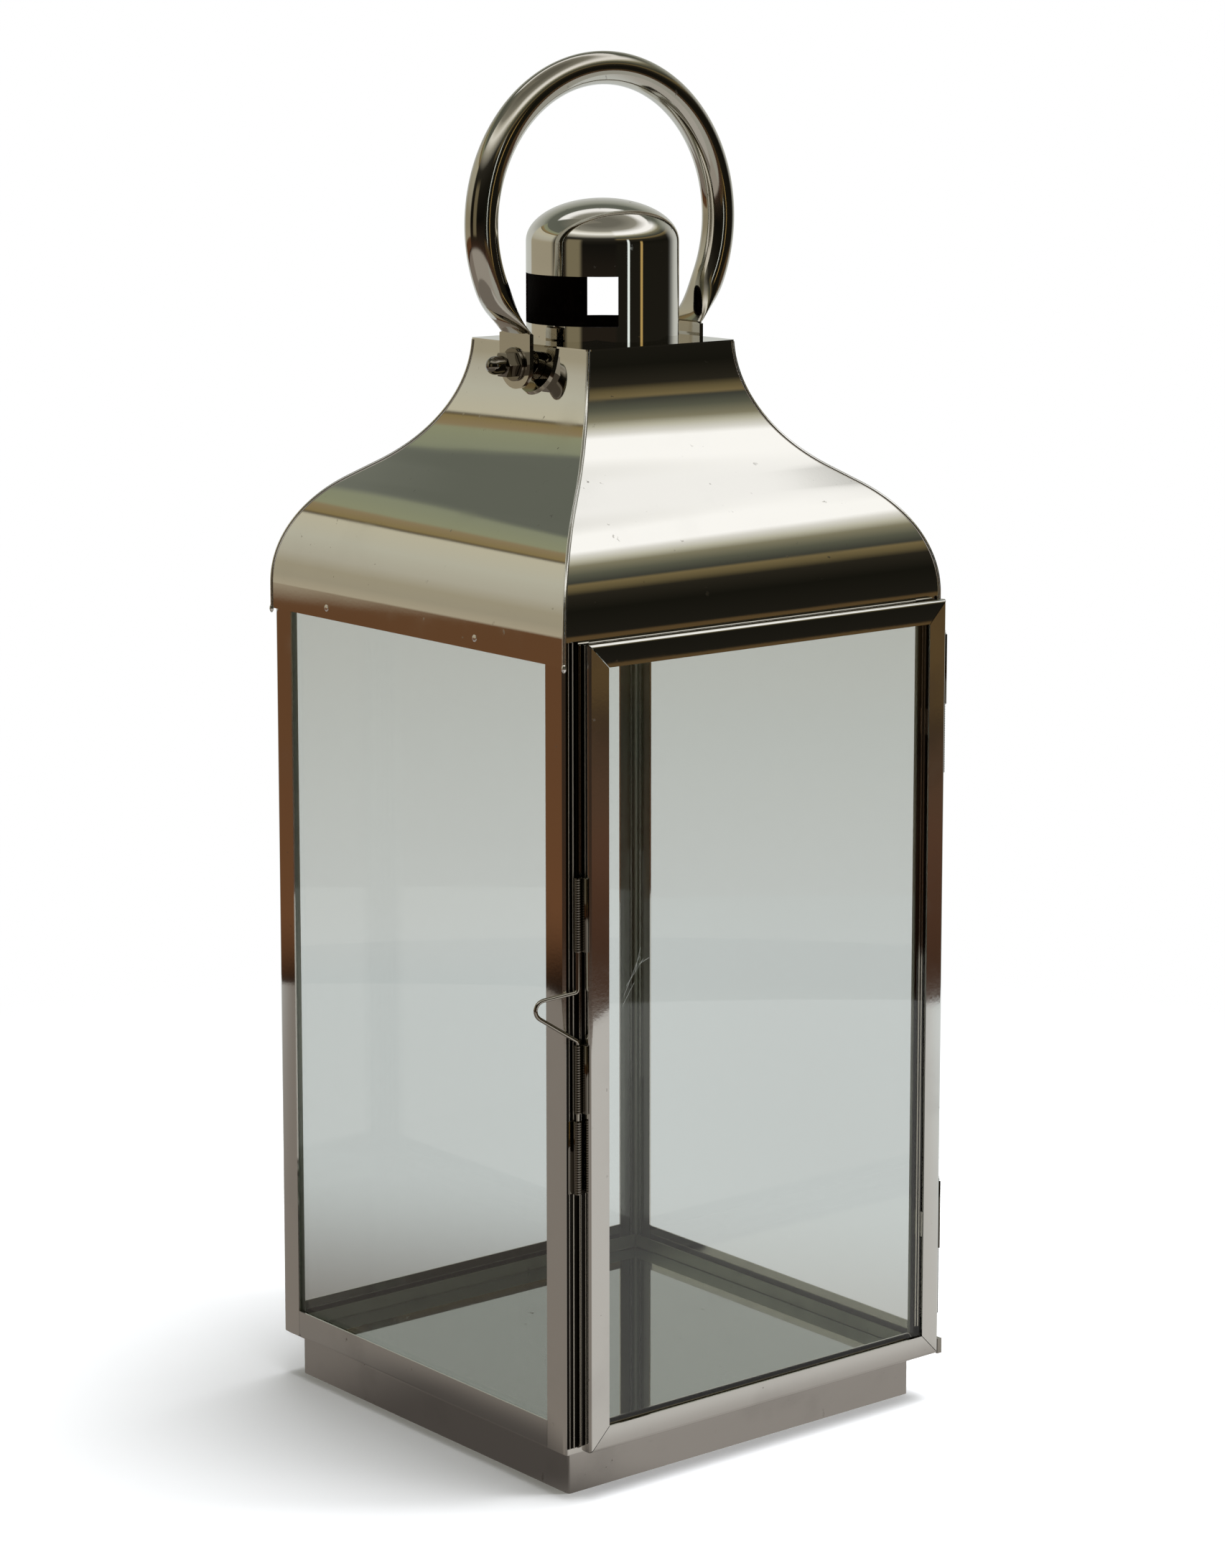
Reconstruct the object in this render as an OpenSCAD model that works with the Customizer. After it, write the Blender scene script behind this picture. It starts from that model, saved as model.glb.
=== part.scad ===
// Candle lantern of polished sheet steel and glass. Millimetres, +Z up.
// The origin is the centre of the underside of the plinth. The door faces -Y.
// The handle's bolts lie along X. The latch is on the door's -X edge and the hinges on its +X edge.

/* [Body] */
// Width over the corner posts
body_w = 164.4; // [156:0.2:172]
// Thickness of the folded steel sheet
sheet = 0.6; // [0.5:0.1:0.7]
// Height of the eaves, where the roof's skirt ends and its curve begins
eaves_z = 289; // [280:1:300]

/* [Plinth] */
// Width of the plinth
plinth_w = 154.2; // [140:0.2:156]
// Height of the plinth, on which the body stands
plinth_h = 16; // [12:1:24]
// Bend radius of the plinth's corners
plinth_r = 1; // [0.8:0.1:2]
// How far the plinth's deck stays inside the outer faces of the posts
deck_inset = 1; // [0.6:0.1:2]
// Corner radius of the floor plate
floor_r = 13; // [5:1:20]

/* [Posts and rails] */
// Width of each leg of a corner post
post_leg = 10; // [8:0.5:12]
// Side of the closed box that is folded into a post's corner
post_box = 5; // [4.8:0.1:5.4]
// Outer bend radius of a post
post_r = 1.8; // [1:0.1:2.5]
// Height of the outer leg of a bottom rail
rail_h = 9.4; // [7:0.2:12]
// Height of the outer leg of a top rail
top_rail_h = 7.5; // [6:0.5:8]
// Height of the lip that stands inside the glass
lip_h = 5.2; // [3:0.2:6]

/* [Glass] */
// Thickness of each pane
glass_t = 3; // [2:0.1:3]
// Gap between a pane and the steel round it
glass_gap = 0.3; // [0.2:0.05:0.5]
// Height of the wedges behind the door glass
clip_h = 9; // [6:1:14]

/* [Roof] */
// Height of the skirt on the roof's side and back panels
skirt_h = 9; // [8:0.5:14]
// Height of what is left of the skirt above the door
front_skirt_h = 1; // [0.4:0.1:1.4]
// Height of the top of the roof panels
roof_top_z = 375.3; // [370:0.1:385]
// Width across the top of the roof
roof_top_w = 64; // [56:1:70]
// Radius of the outward curve above the skirt
convex_r = 46.4; // [40:0.2:50]
// Radius of the inward curve below the top
concave_r = 56.2; // [50:0.2:60]
// Turn of the outward curve, in degrees
roof_turn = 54.7; // [50:0.5:58]

/* [Chimney] */
// Outer diameter of the chimney cap
cap_d = 52.8; // [44:0.2:56]
// Height of the cap above the top plate
cap_h = 48.4; // [44:0.2:56]
// Height of the cap's domed part
dome_h = 14.7; // [10:0.1:18]
// Height of each window in the cap
window_h = 17; // [12:1:20]
// Height of the windows' sill above the top plate
window_sill = 6; // [4:0.5:9]
// Angle of each of the two pillars between the windows, in degrees
pillar_angle = 80; // [60:1:90]
// Turn of the windows from the X axis, in degrees
cap_turn = 13; // [0:1:20]
// Diameter of the vent in the top plate
vent_d = 46; // [30:1:48]

/* [Door] */
// Place of the door's latch edge
door_left = -76.7; // [-77:0.1:-76]
// Place of the door's hinge edge
door_right = 81.4; // [81:0.1:81.6]
// Height of the door's lower edge
door_bottom = 17; // [16.5:0.1:20]
// Height of the door's upper edge
door_top = 287.3; // [284:0.1:288]
// Width of the door frame's front face
door_face_w = 7.9; // [6:0.1:10]
// Depth of the door frame
door_depth = 5.8; // [5.4:0.1:8]
// Gap between the mitred ends of the door frame
mitre_gap = 0.3; // [0.1:0.1:0.8]

/* [Hinges and latch] */
// Outer diameter of each rolled knuckle
knuckle_d = 2.6; // [2.4:0.1:2.8]
// Diameter of the hinge pins
pin_d = 1.6; // [1.4:0.1:1.6]
// Length of one knuckle
knuckle_len = 24.4; // [18:0.2:26]
// Height of the foot of the lower hinge
lower_hinge_z = 30.6; // [26:0.2:60]
// Height of the foot of the upper hinge
upper_hinge_z = 225.8; // [180:0.2:230]
// Diameter of the latch wire
wire_d = 1.4; // [1.2:0.1:1.5]
// Radial running clearance of the pins and the latch wire
running = 0.05; // [0.03:0.01:0.1]
// Travel of the latch wire
latch_travel = 10; // [9.5:0.1:10.2]

/* [Handle] */
// Height of the pivot bolts
pivot_z = 369.2; // [368:0.1:370]
// Radius of the handle's ring, at the middle of the tube
ring_r = 52.3; // [50:0.1:56]
// Height of the centre of the ring
ring_z = 416.4; // [414:0.1:420]
// Diameter of the handle's tube
tube_d = 11.4; // [10:0.1:12]
// Wall of the handle's tube
tube_wall = 1; // [0.8:0.1:1.5]
// Angle below the level at which the ring's arc ends, in degrees
ring_end = 36; // [34:1:38]
// Width of the flattened ends
tongue_w = 16.8; // [14:0.2:18]
// Thickness of the flattened ends
tongue_t = 1.6; // [1.2:0.1:2]

/* [Hidden] */
$fn = 64;

// Colours of the finishes
steel = "silver";
worn_steel = "darkgray";
dark_steel = "dimgray";
glass = "lightcyan";

// A small overlap that lets a cut pass right through
cut = 1;
// Seam between two folded pieces that lie against each other
seam = 0.1;
// Quarter turns that carry a piece from the front to the right, the back and the left
FRONT = 0;
RIGHT = 90;
BACK = 180;
LEFT = 270;

half = body_w / 2;
plinth_half = plinth_w / 2;
body_top = eaves_z - 0.5;
skirt_half = half + sheet + seam / 2;
box_in = half - post_box;
rail_reach = half - post_leg - seam / 2;
pane_in = box_in + sheet + glass_gap;
pane_half = box_in - 2.6 * glass_gap;
plate_z = roof_top_z + sheet;

// A square with round corners, centred on the origin
module round_square(h, r) {
    difference() {
        square(2 * h, center = true);
        for (turn = [0 : 90 : 270]) {
            rotate(turn) translate([h - r, h - r]) difference() {
                square(r + cut);
                circle(r);
            }
        }
    }
}

// The plinth: a shallow tray folded from one sheet, whose underside is the lantern's foot
module plinth() {
    color(worn_steel) {
        linear_extrude(plinth_h - 2 * seam - sheet) difference() {
            round_square(plinth_half, plinth_r);
            round_square(plinth_half - sheet, plinth_r - sheet);
        }
        linear_extrude(sheet) round_square(plinth_half - sheet / 2, plinth_r - sheet / 2);
    }
}

// The deck that closes the plinth and carries the posts and the bottom rails
module plinth_deck() {
    color(worn_steel) translate([0, 0, plinth_h - sheet - seam]) linear_extrude(sheet) {
        round_square(half - deck_inset, plinth_r);
    }
}

// The bright floor on which the candle stands
module floor_plate() {
    color(steel) translate([0, 0, plinth_h]) linear_extrude(sheet) round_square(box_in - glass_gap, floor_r);
}

// A rail for the front face: an outer leg flush with the posts, a web, and a lip inside the glass
module rail(leg_h) {
    lip_reach = box_in - glass_gap;
    translate([-rail_reach, -half, 0]) cube([2 * rail_reach, sheet, leg_h]);
    translate([-rail_reach, -half, 0]) cube([2 * rail_reach, post_box, sheet]);
    translate([-lip_reach, -half + sheet + seam, 0]) cube([2 * lip_reach, post_box - sheet - seam, sheet]);
    translate([-lip_reach, -box_in - sheet, 0]) cube([2 * lip_reach, sheet, lip_h]);
}

module bottom_rail(turn) {
    color(worn_steel) translate([0, 0, plinth_h]) rotate(turn) rail(rail_h);
}

module top_rail(turn) {
    color(steel) translate([0, 0, body_top]) rotate(turn) mirror([0, 0, 1]) rail(top_rail_h);
}

// Half of a post's section, on one side of its diagonal: a leg and one wall of the box
module post_half_section() {
    translate([post_r, 0]) square([post_leg - post_r, sheet]);
    translate([sheet / 2, post_box - sheet]) square([post_box - sheet / 2, sheet]);
}

// A corner post: an angle with a round bend, and a closed box folded inside its corner
module post(turn) {
    color(steel) rotate(turn) translate([half, -half, plinth_h]) rotate(90) linear_extrude(body_top - plinth_h) {
        post_half_section();
        mirror([1, -1]) post_half_section();
        intersection() {
            square(post_r);
            translate([post_r, post_r]) difference() {
                circle(post_r);
                circle(post_r - sheet);
            }
        }
    }
}

// A pane for the front face; the other three faces each have one
module pane(turn) {
    low = plinth_h + sheet + glass_gap;
    high = body_top - sheet - glass_gap;
    color(glass, 0.4) rotate(turn) translate([-pane_half, -pane_in - glass_t, low]) {
        cube([2 * pane_half, glass_t, high - low]);
    }
}

function turn_dir(a) = [cos(a), sin(a)];
function along_dir(a) = [-sin(a), cos(a)];
// The roof's section: an outward curve from the eaves, a straight stretch and an inward curve
convex_centre = [skirt_half - convex_r, eaves_z];
convex_end = convex_centre + convex_r * turn_dir(roof_turn);
// The straight stretch is as long as brings the inward curve to the roof's top edge
straight_u = convex_end[0] + concave_r * cos(roof_turn) - roof_top_w / 2;
straight_w = convex_end[1] + concave_r * sin(roof_turn) - roof_top_z;
straight_b = straight_w * cos(roof_turn) - straight_u * sin(roof_turn);
straight_c = straight_u ^ 2 + straight_w ^ 2 - concave_r ^ 2;
straight_len = -straight_b - sqrt(straight_b ^ 2 - straight_c);
concave_centre = convex_end + straight_len * along_dir(roof_turn) + concave_r * turn_dir(roof_turn);
concave_stop = asin((concave_centre[1] - roof_top_z) / concave_r);

// The roof's section from the skirt's foot to the top, at a depth below its outer surface
function roof_curve(depth, drop, steps = 12) = concat(
    [[skirt_half - depth, eaves_z - drop]],
    [for (i = [0 : steps]) convex_centre + (convex_r - depth) * turn_dir(roof_turn * i / steps)],
    [for (i = [0 : steps]) concave_centre
        - (concave_r + depth) * turn_dir(roof_turn + (concave_stop - roof_turn) * i / steps)]
);

function reversed(list) = [for (i = [len(list) - 1 : -1 : 0]) list[i]];

// The half-width of the roof's outer face at a height on the inward curve
function roof_half_at(z) = concave_centre[0] - sqrt(concave_r ^ 2 - (concave_centre[1] - z) ^ 2);

// One of the four roof panels, mitred at 45 degrees along its hips
module roof_panel(turn, drop = skirt_h) {
    reach = skirt_half + cut;
    color(steel) rotate(turn - 90) intersection() {
        rotate([90, 0, 0]) linear_extrude(2 * reach, center = true) {
            polygon(concat(roof_curve(0, drop), reversed(roof_curve(sheet, drop))));
        }
        translate([seam, 0, eaves_z - skirt_h - cut]) linear_extrude(roof_top_z - eaves_z + skirt_h + 2 * cut) {
            polygon([[0, 0], [reach, -reach], [reach, reach]]);
        }
    }
}

// A roof panel that a handle bolt passes through
module bored_roof_panel(turn) {
    difference() {
        roof_panel(turn);
        rotate(turn - 90) translate([0, 0, pivot_z]) rotate([0, 90, 0]) cylinder(h = half, r = bolt_hole_r);
    }
}

// The flat top of the roof, with the vent under the cap
module top_plate() {
    plate_half = roof_top_w / 2 + 0.6;
    plate_r = 1.5;
    color(steel) translate([0, 0, roof_top_z]) linear_extrude(sheet) difference() {
        round_square(plate_half, plate_r);
        circle(d = vent_d);
    }
}

// The cap's section: a straight wall under a dome that is an ellipse
function dome(r, h, steps = 10) = [for (i = [0 : steps]) [r * cos(90 * i / steps), h * sin(90 * i / steps)]];

module cap_solid(inset) {
    wall_h = cap_h - dome_h;
    rise = [0, wall_h];
    rotate_extrude() polygon(concat(
        [[0, -inset], [cap_d / 2 - inset, -inset]],
        [for (p = dome(cap_d / 2 - inset, dome_h - inset)) p + rise]
    ));
}

// The chimney cap: a domed cup with two windows, one towards each side, between two pillars
module chimney_cap() {
    window_angle = 90 - pillar_angle / 2;
    reach = cap_d;
    color(dark_steel) translate([0, 0, plate_z]) difference() {
        cap_solid(0);
        cap_solid(sheet);
        for (turn = [0, 180]) {
            rotate(cap_turn + turn) translate([0, 0, window_sill]) linear_extrude(window_h) {
                polygon([[0, 0], reach * turn_dir(-window_angle), [reach, 0], reach * turn_dir(window_angle)]);
            }
        }
    }
}

door_back = -half - 0.3;
door_front = door_back - door_depth;
door_w = door_right - door_left;
door_h = door_top - door_bottom;

// A side of the door frame: a channel along X from the origin, open upwards, with mitred ends
module door_channel(length) {
    back_flange = door_face_w - 1.6;
    intersection() {
        rotate([90, 0, 90]) linear_extrude(length) polygon([
            [door_front, 0], [door_back, 0], [door_back, back_flange], [door_back - sheet, back_flange],
            [door_back - sheet, sheet], [door_front + sheet, sheet],
            [door_front + sheet, door_face_w], [door_front, door_face_w]
        ]);
        translate([0, door_back + cut, 0]) rotate([90, 0, 0]) linear_extrude(door_depth + 2 * cut) polygon([
            [mitre_gap / 2, 0], [length - mitre_gap / 2, 0],
            [length - door_face_w - mitre_gap / 2, door_face_w], [door_face_w + mitre_gap / 2, door_face_w]
        ]);
    }
}

module door_rail_bottom() {
    color(worn_steel) translate([door_left, 0, door_bottom]) door_channel(door_w);
}

module door_stile_right() {
    color(steel) translate([door_right, 0, door_bottom]) rotate([0, -90, 0]) door_channel(door_h);
}

module door_rail_top() {
    color(steel) translate([door_right, 0, door_top]) rotate([0, 180, 0]) door_channel(door_w);
}

module door_stile_left() {
    color(steel) translate([door_left, 0, door_top]) rotate([0, 90, 0]) door_channel(door_h);
}

// The door's pane lies in the channels
module door_glass() {
    tuck = 3;
    color(glass, 0.4) translate([door_left + tuck, door_front + sheet + glass_gap, door_bottom + tuck]) {
        cube([door_w - 2 * tuck, glass_t, door_h - 2 * tuck]);
    }
}

// Wedges that fill the channel behind the door's pane
module door_glass_clips() {
    tuck = 1;
    wedge_w = 4.5;
    wedge_t = door_depth - 2 * sheet - glass_gap - glass_t - 2 * seam;
    color(steel) for (x = [door_left + tuck, door_right - tuck - wedge_w], z = [60, 240]) {
        translate([x, door_back - sheet - seam - wedge_t, z]) cube([wedge_w, wedge_t, clip_h]);
    }
}

// The small tab that is turned up over the door's lower hinge corner
module door_corner_tab() {
    color(dark_steel) translate([door_right + seam / 2, door_front + sheet, door_bottom - 0.4]) {
        cube([2, door_depth - 2 * sheet, 5.4]);
    }
}

// Axis of the hinge pins and axis of the latch wire
pin_x = door_right + knuckle_d / 2 + 0.4;
pin_y = door_back - 1.7;
latch_x = door_left - knuckle_d / 2 - 0.65;
latch_y = door_back - 1.8;
leaf_t = 0.6;
knuckle_gap = 0.4;

// A leaf and its knuckle, with the bore cut through both
module leaf(x, y, z, length, bore_r) {
    difference() {
        union() {
            translate([x, y, z]) cylinder(h = length, d = knuckle_d);
            children();
        }
        translate([x, y, z - cut]) cylinder(h = length + 2 * cut, r = bore_r);
    }
}

pin_bore_r = pin_d / 2 + running;
wire_bore_r = wire_d / 2 + running;

// The leaf on the side of the front right post, with the lower knuckle
module hinge_frame_leaf(z) {
    leaf_w = 8;
    color(steel) leaf(pin_x, pin_y, z, knuckle_len, pin_bore_r) {
        translate([half, pin_y + 0.9, z]) cube([leaf_t, leaf_w, knuckle_len]);
    }
}

// The leaf on the door's hinge stile, with the upper knuckle
module hinge_door_leaf(z) {
    leaf_w = 4.2;
    color(steel) leaf(pin_x, pin_y, z + knuckle_len + knuckle_gap, knuckle_len, pin_bore_r) {
        translate([door_right, pin_y + 0.6 - leaf_w, z + knuckle_len + knuckle_gap]) {
            cube([leaf_t, leaf_w, knuckle_len]);
        }
    }
}

// The two hinge pins, each with a small head on top
module hinge_pins() {
    head_h = 0.8;
    pin_len = 2 * knuckle_len + knuckle_gap;
    color(dark_steel) for (z = [lower_hinge_z, upper_hinge_z]) translate([pin_x, pin_y, z]) {
        cylinder(h = pin_len + running, d = pin_d);
        translate([0, 0, pin_len + running]) cylinder(h = head_h, d = knuckle_d - 0.4);
    }
}

keeper_z = 105.2;
keeper_len = 24.7;
guide_low_z = 132.5;
guide_low_len = 23;
guide_high_z = 186.5;
guide_high_len = 24.6;

// A guide on the door's latch edge
module latch_guide(z, length) {
    leaf_w = 4.4;
    color(steel) leaf(latch_x, latch_y, z, length, wire_bore_r) {
        translate([door_left - leaf_t - 0.3, latch_y + 1.2 - leaf_w, z]) cube([leaf_t + 0.3, leaf_w, length]);
    }
}

// The keeper on the front of the post, into which the wire drops
module latch_keeper() {
    foot = 3;
    color(steel) leaf(latch_x, latch_y, keeper_z, keeper_len, wire_bore_r) {
        translate([latch_x - knuckle_d / 2, latch_y, keeper_z]) cube([0.5, -latch_y - half, keeper_len]);
        translate([latch_x - foot + 0.2, -half - leaf_t, keeper_z]) cube([foot, leaf_t, keeper_len]);
    }
}

// A round bar between two points
module bar(from, to, d) {
    v = to - from;
    translate(from) rotate([0, acos(v[2] / norm(v)), atan2(v[1], v[0])]) cylinder(h = norm(v), d = d);
}

// The latch wire, with its finger pull bent out past the corner post. The pull turns back 20 degrees.
pull_angle = 160;
pull_path = [
    [0, 0, 175.4], [1.6, 0, 172.8], [11.7, 0, 171.2], [14, 0, 168.7], [11.7, 0, 164.3], [0, 0, 156.6]
];
wire_foot_z = keeper_z + keeper_len - 9;
wire_head_z = guide_high_z + guide_high_len - latch_travel - 1;

module latch_wire() {
    bend_d = wire_d + 0.3;
    color(steel) translate([latch_x, latch_y, 0]) rotate(pull_angle) {
        bar([0, 0, wire_foot_z], pull_path[5], wire_d);
        bar(pull_path[0], [0, 0, wire_head_z], wire_d);
        for (i = [0 : 4]) bar(pull_path[i], pull_path[i + 1], wire_d);
        for (p = pull_path) translate(p) sphere(d = bend_d);
    }
}

bolt_d = 5;
bolt_hole_r = 2.8;
pivot_bore_r = bolt_d / 2 + 0.08;
spacer_d = 9;
spacer_face = 36.6;
tongue_x = spacer_face + 0.2;
washer_x = tongue_x + tongue_t + 0.1;
washer_t = 1;
nut_x = washer_x + washer_t;
nut_h = 10.5;

// The ring handle: a bent tube whose ends are flattened into tongues that hang outside the roof
module ring_handle() {
    arc_start = -ring_end;
    arc_sweep = 180 + 2 * ring_end;
    color(steel) {
        translate([0, 0, ring_z]) rotate([90, 0, 0]) rotate([0, 0, arc_start]) rotate_extrude(angle = arc_sweep) {
            translate([ring_r, 0]) difference() {
                circle(d = tube_d);
                circle(d = tube_d - 2 * tube_wall);
            }
        }
        for (side = [0, 1]) mirror([side, 0, 0]) ring_end_piece();
    }
}

// One flattened end, on the +X side: the crushed stretch of tube and the bored tongue
module ring_end_piece() {
    crease_z = pivot_z + 10.6;
    crease_t = 3.8;
    crush_h = 8;
    crush_r = 8.9;
    round_z = pivot_z - 1.2;
    overlap = 0.8;
    tube_r = tube_d / 2 - 0.1;
    end_x = ring_r * cos(ring_end);
    end_z = ring_z - ring_r * sin(ring_end);
    into_tube = overlap * [sin(ring_end), cos(ring_end)];
    across = tube_r * [cos(ring_end), -sin(ring_end)];
    inner_corner = [end_x, end_z] - across;
    outer_corner = [end_x, end_z] + across;
    intersection() {
        rotate([90, 0, 0]) linear_extrude(2 * crush_r, center = true) polygon([
            inner_corner + into_tube, inner_corner, [tongue_x, crease_z + 2], [tongue_x, crease_z],
            [tongue_x + crease_t, crease_z], outer_corner, outer_corner + into_tube
        ]);
        translate([end_x, 0, end_z]) rotate([0, ring_end, 0]) translate([0, 0, -crush_h]) {
            cylinder(h = crush_h + overlap, r1 = crush_r, r2 = tube_r);
        }
    }
    difference() {
        union() {
            translate([tongue_x, -tongue_w / 2, round_z]) cube([tongue_t, tongue_w, crease_z - round_z + 0.5]);
            translate([tongue_x, 0, round_z]) rotate([0, 90, 0]) cylinder(h = tongue_t, d = tongue_w);
        }
        translate([tongue_x - cut, 0, pivot_z]) rotate([0, 90, 0]) {
            cylinder(h = tongue_t + 2 * cut, r = pivot_bore_r);
        }
    }
}

// Places its children on both pivots, with +Z turned outwards along X
module at_pivots(x) {
    for (side = [0, 1]) mirror([side, 0, 0]) translate([x, 0, pivot_z]) rotate([0, 90, 0]) children();
}

// The pivot bolts, each with its head inside the roof
module handle_bolts() {
    head_d = 8.5;
    head_h = 3.2;
    head_x = 28;
    thread_end = nut_x + 6.5;
    color(dark_steel) at_pivots(head_x) {
        cylinder(h = head_h, d = head_d);
        cylinder(h = thread_end - head_x, d = bolt_d);
    }
}

// Spacers that hold the handle's ends off the roof's flare
module handle_spacers() {
    length = spacer_face - roof_half_at(pivot_z - spacer_d / 2) - 0.1;
    color(dark_steel) at_pivots(spacer_face - length) difference() {
        cylinder(h = length, d = spacer_d);
        translate([0, 0, -cut]) cylinder(h = length + 2 * cut, d = bolt_d + 0.1);
    }
}

module handle_washers() {
    washer_d = 11.5;
    color(steel) at_pivots(washer_x) difference() {
        cylinder(h = washer_t, d = washer_d);
        translate([0, 0, -cut]) cylinder(h = washer_t + 2 * cut, d = bolt_d + 0.1);
    }
}

// Domed cap nuts
module acorn_nuts() {
    across_flats = 8;
    hex_h = 4.5;
    dome_d = 7;
    thread_h = 7;
    color(dark_steel) at_pivots(nut_x) difference() {
        union() {
            cylinder(h = hex_h, d = across_flats / cos(30), $fn = 6);
            cylinder(h = nut_h - dome_d / 2, d = dome_d - 0.06);
            translate([0, 0, nut_h - dome_d / 2]) sphere(d = dome_d);
        }
        translate([0, 0, -cut]) cylinder(h = thread_h + cut, d = bolt_d + 0.1);
    }
}

plinth();
plinth_deck();
floor_plate();
bottom_rail(FRONT);  // bottom_rail_front
bottom_rail(RIGHT);  // bottom_rail_right
bottom_rail(BACK);  // bottom_rail_back
bottom_rail(LEFT);  // bottom_rail_left
post(FRONT);  // post_front_right
post(RIGHT);  // post_back_right
post(BACK);  // post_back_left
post(LEFT);  // post_front_left
top_rail(FRONT);  // top_rail_front
top_rail(RIGHT);  // top_rail_right
top_rail(BACK);  // top_rail_back
top_rail(LEFT);  // top_rail_left
pane(RIGHT);  // pane_right
pane(BACK);  // pane_back
pane(LEFT);  // pane_left
roof_panel(FRONT, front_skirt_h);  // roof_panel_front
bored_roof_panel(RIGHT);  // roof_panel_right
roof_panel(BACK);  // roof_panel_back
bored_roof_panel(LEFT);  // roof_panel_left
top_plate();
chimney_cap();
door_rail_bottom();
door_stile_right();
door_rail_top();
door_stile_left();
door_glass();
door_glass_clips();
door_corner_tab();
hinge_frame_leaf(upper_hinge_z);  // upper_hinge_frame_leaf
hinge_frame_leaf(lower_hinge_z);  // lower_hinge_frame_leaf
hinge_door_leaf(upper_hinge_z);  // upper_hinge_door_leaf
hinge_door_leaf(lower_hinge_z);  // lower_hinge_door_leaf
hinge_pins();
latch_guide(guide_high_z, guide_high_len);  // latch_guide_upper
latch_guide(guide_low_z, guide_low_len);  // latch_guide_lower
latch_keeper();
latch_wire();
ring_handle();
handle_bolts();
handle_spacers();
handle_washers();
acorn_nuts();
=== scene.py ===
import math

import bmesh
import bpy
from mathutils import Matrix, Vector


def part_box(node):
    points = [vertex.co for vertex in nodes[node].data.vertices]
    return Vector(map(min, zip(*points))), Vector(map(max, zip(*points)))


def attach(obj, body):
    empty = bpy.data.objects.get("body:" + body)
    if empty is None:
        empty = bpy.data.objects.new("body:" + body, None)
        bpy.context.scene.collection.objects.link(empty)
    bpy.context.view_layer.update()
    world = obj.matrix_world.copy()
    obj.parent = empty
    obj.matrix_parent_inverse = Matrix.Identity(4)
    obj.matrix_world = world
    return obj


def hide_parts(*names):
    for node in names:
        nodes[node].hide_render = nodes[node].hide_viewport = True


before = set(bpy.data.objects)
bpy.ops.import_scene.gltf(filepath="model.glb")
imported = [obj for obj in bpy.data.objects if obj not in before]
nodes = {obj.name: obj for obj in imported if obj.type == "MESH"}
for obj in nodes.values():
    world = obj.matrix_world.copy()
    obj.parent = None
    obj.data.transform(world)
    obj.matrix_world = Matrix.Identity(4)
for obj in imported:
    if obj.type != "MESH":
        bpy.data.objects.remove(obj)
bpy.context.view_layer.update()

# The camera stands in front of the latch corner, a little above the lantern's ring, and looks
# slightly down on it. The lens is shifted down so that the posts stay nearly upright.
camera_data = bpy.data.cameras.new("camera")
camera_data.sensor_width = 36
camera_data.lens = 92.26
camera_data.shift_x = -0.0064
camera_data.shift_y = -0.12
camera = bpy.data.objects.new("camera", camera_data)
camera.location = (-0.8707, -1.0785, 0.4944)
camera.rotation_euler = (math.radians(81.447), 0, math.radians(-39.200))
bpy.context.scene.collection.objects.link(camera)
bpy.context.scene.camera = camera
bpy.context.scene.view_settings.view_transform = "Standard"

# The studio round the lantern, as bright metal sees it: a white sweep behind, a cream wall with
# a gilt rail on the left, a dark room with a bright window high up on the right, and brown wood
# beyond the table's edge. To the eye the background is plain white.


class Tone:
    """A shader socket with arithmetic. node() adds any other node to the same tree."""

    def __init__(self, tree, socket=None):
        self.tree = tree
        self.socket = socket

    def node(self, kind, settings=None, inputs=None, output=0):
        made = self.tree.nodes.new(kind)
        for name, value in (settings or {}).items():
            if name == "stops":
                ramp = made.color_ramp.elements
                while len(ramp) < len(value):
                    ramp.new(1)
                for stop, (position, colour) in zip(ramp, value):
                    stop.position = position
                    stop.color = colour
            else:
                setattr(made, name, value)
        for name, value in (inputs or {}).items():
            if isinstance(value, Tone):
                self.tree.links.new(value.socket, made.inputs[name])
            else:
                made.inputs[name].default_value = value
        return Tone(self.tree, made.outputs[output] if made.outputs else None)

    def math(self, operation, *values):
        return self.node("ShaderNodeMath", {"operation": operation}, dict(enumerate(values)))

    def paint(self, code):
        """One even colour, from six hex digits."""
        made = self.node("ShaderNodeRGB")
        made.socket.default_value = shade(code)
        return made

    def axes(self):
        """The x, y and z of this vector."""
        return [self.node("ShaderNodeSeparateXYZ", inputs={0: self}, output=i) for i in range(3)]

    def __add__(self, other):
        return self.math("ADD", self, other)

    def __radd__(self, other):
        return self.math("ADD", other, self)

    def __sub__(self, other):
        return self.math("SUBTRACT", self, other)

    def __rsub__(self, other):
        return self.math("SUBTRACT", other, self)

    def __mul__(self, other):
        return self.math("MULTIPLY", self, other)

    def __rmul__(self, other):
        return self.math("MULTIPLY", other, self)

    def step(self, low, high):
        """0 below low and 1 above high, with a smooth rise between."""
        limits = {"Value": self, "From Min": low, "From Max": high}
        return self.node("ShaderNodeMapRange", {"interpolation_type": "SMOOTHSTEP"}, limits)

    def mix(self, factor, other):
        """This colour where factor is 0, and the other where it is 1."""
        inputs = {0: factor, 6: self, 7: other}
        return self.node("ShaderNodeMix", {"data_type": "RGBA"}, inputs, 2)


def shade(code):
    """A colour from six hex digits, as linear red, green, blue and alpha."""
    parts = [int(code[i : i + 2], 16) / 255 for i in (0, 2, 4)]
    return tuple(c / 12.92 if c < 0.04045 else ((c + 0.055) / 1.055) ** 2.4 for c in parts) + (1,)


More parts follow.
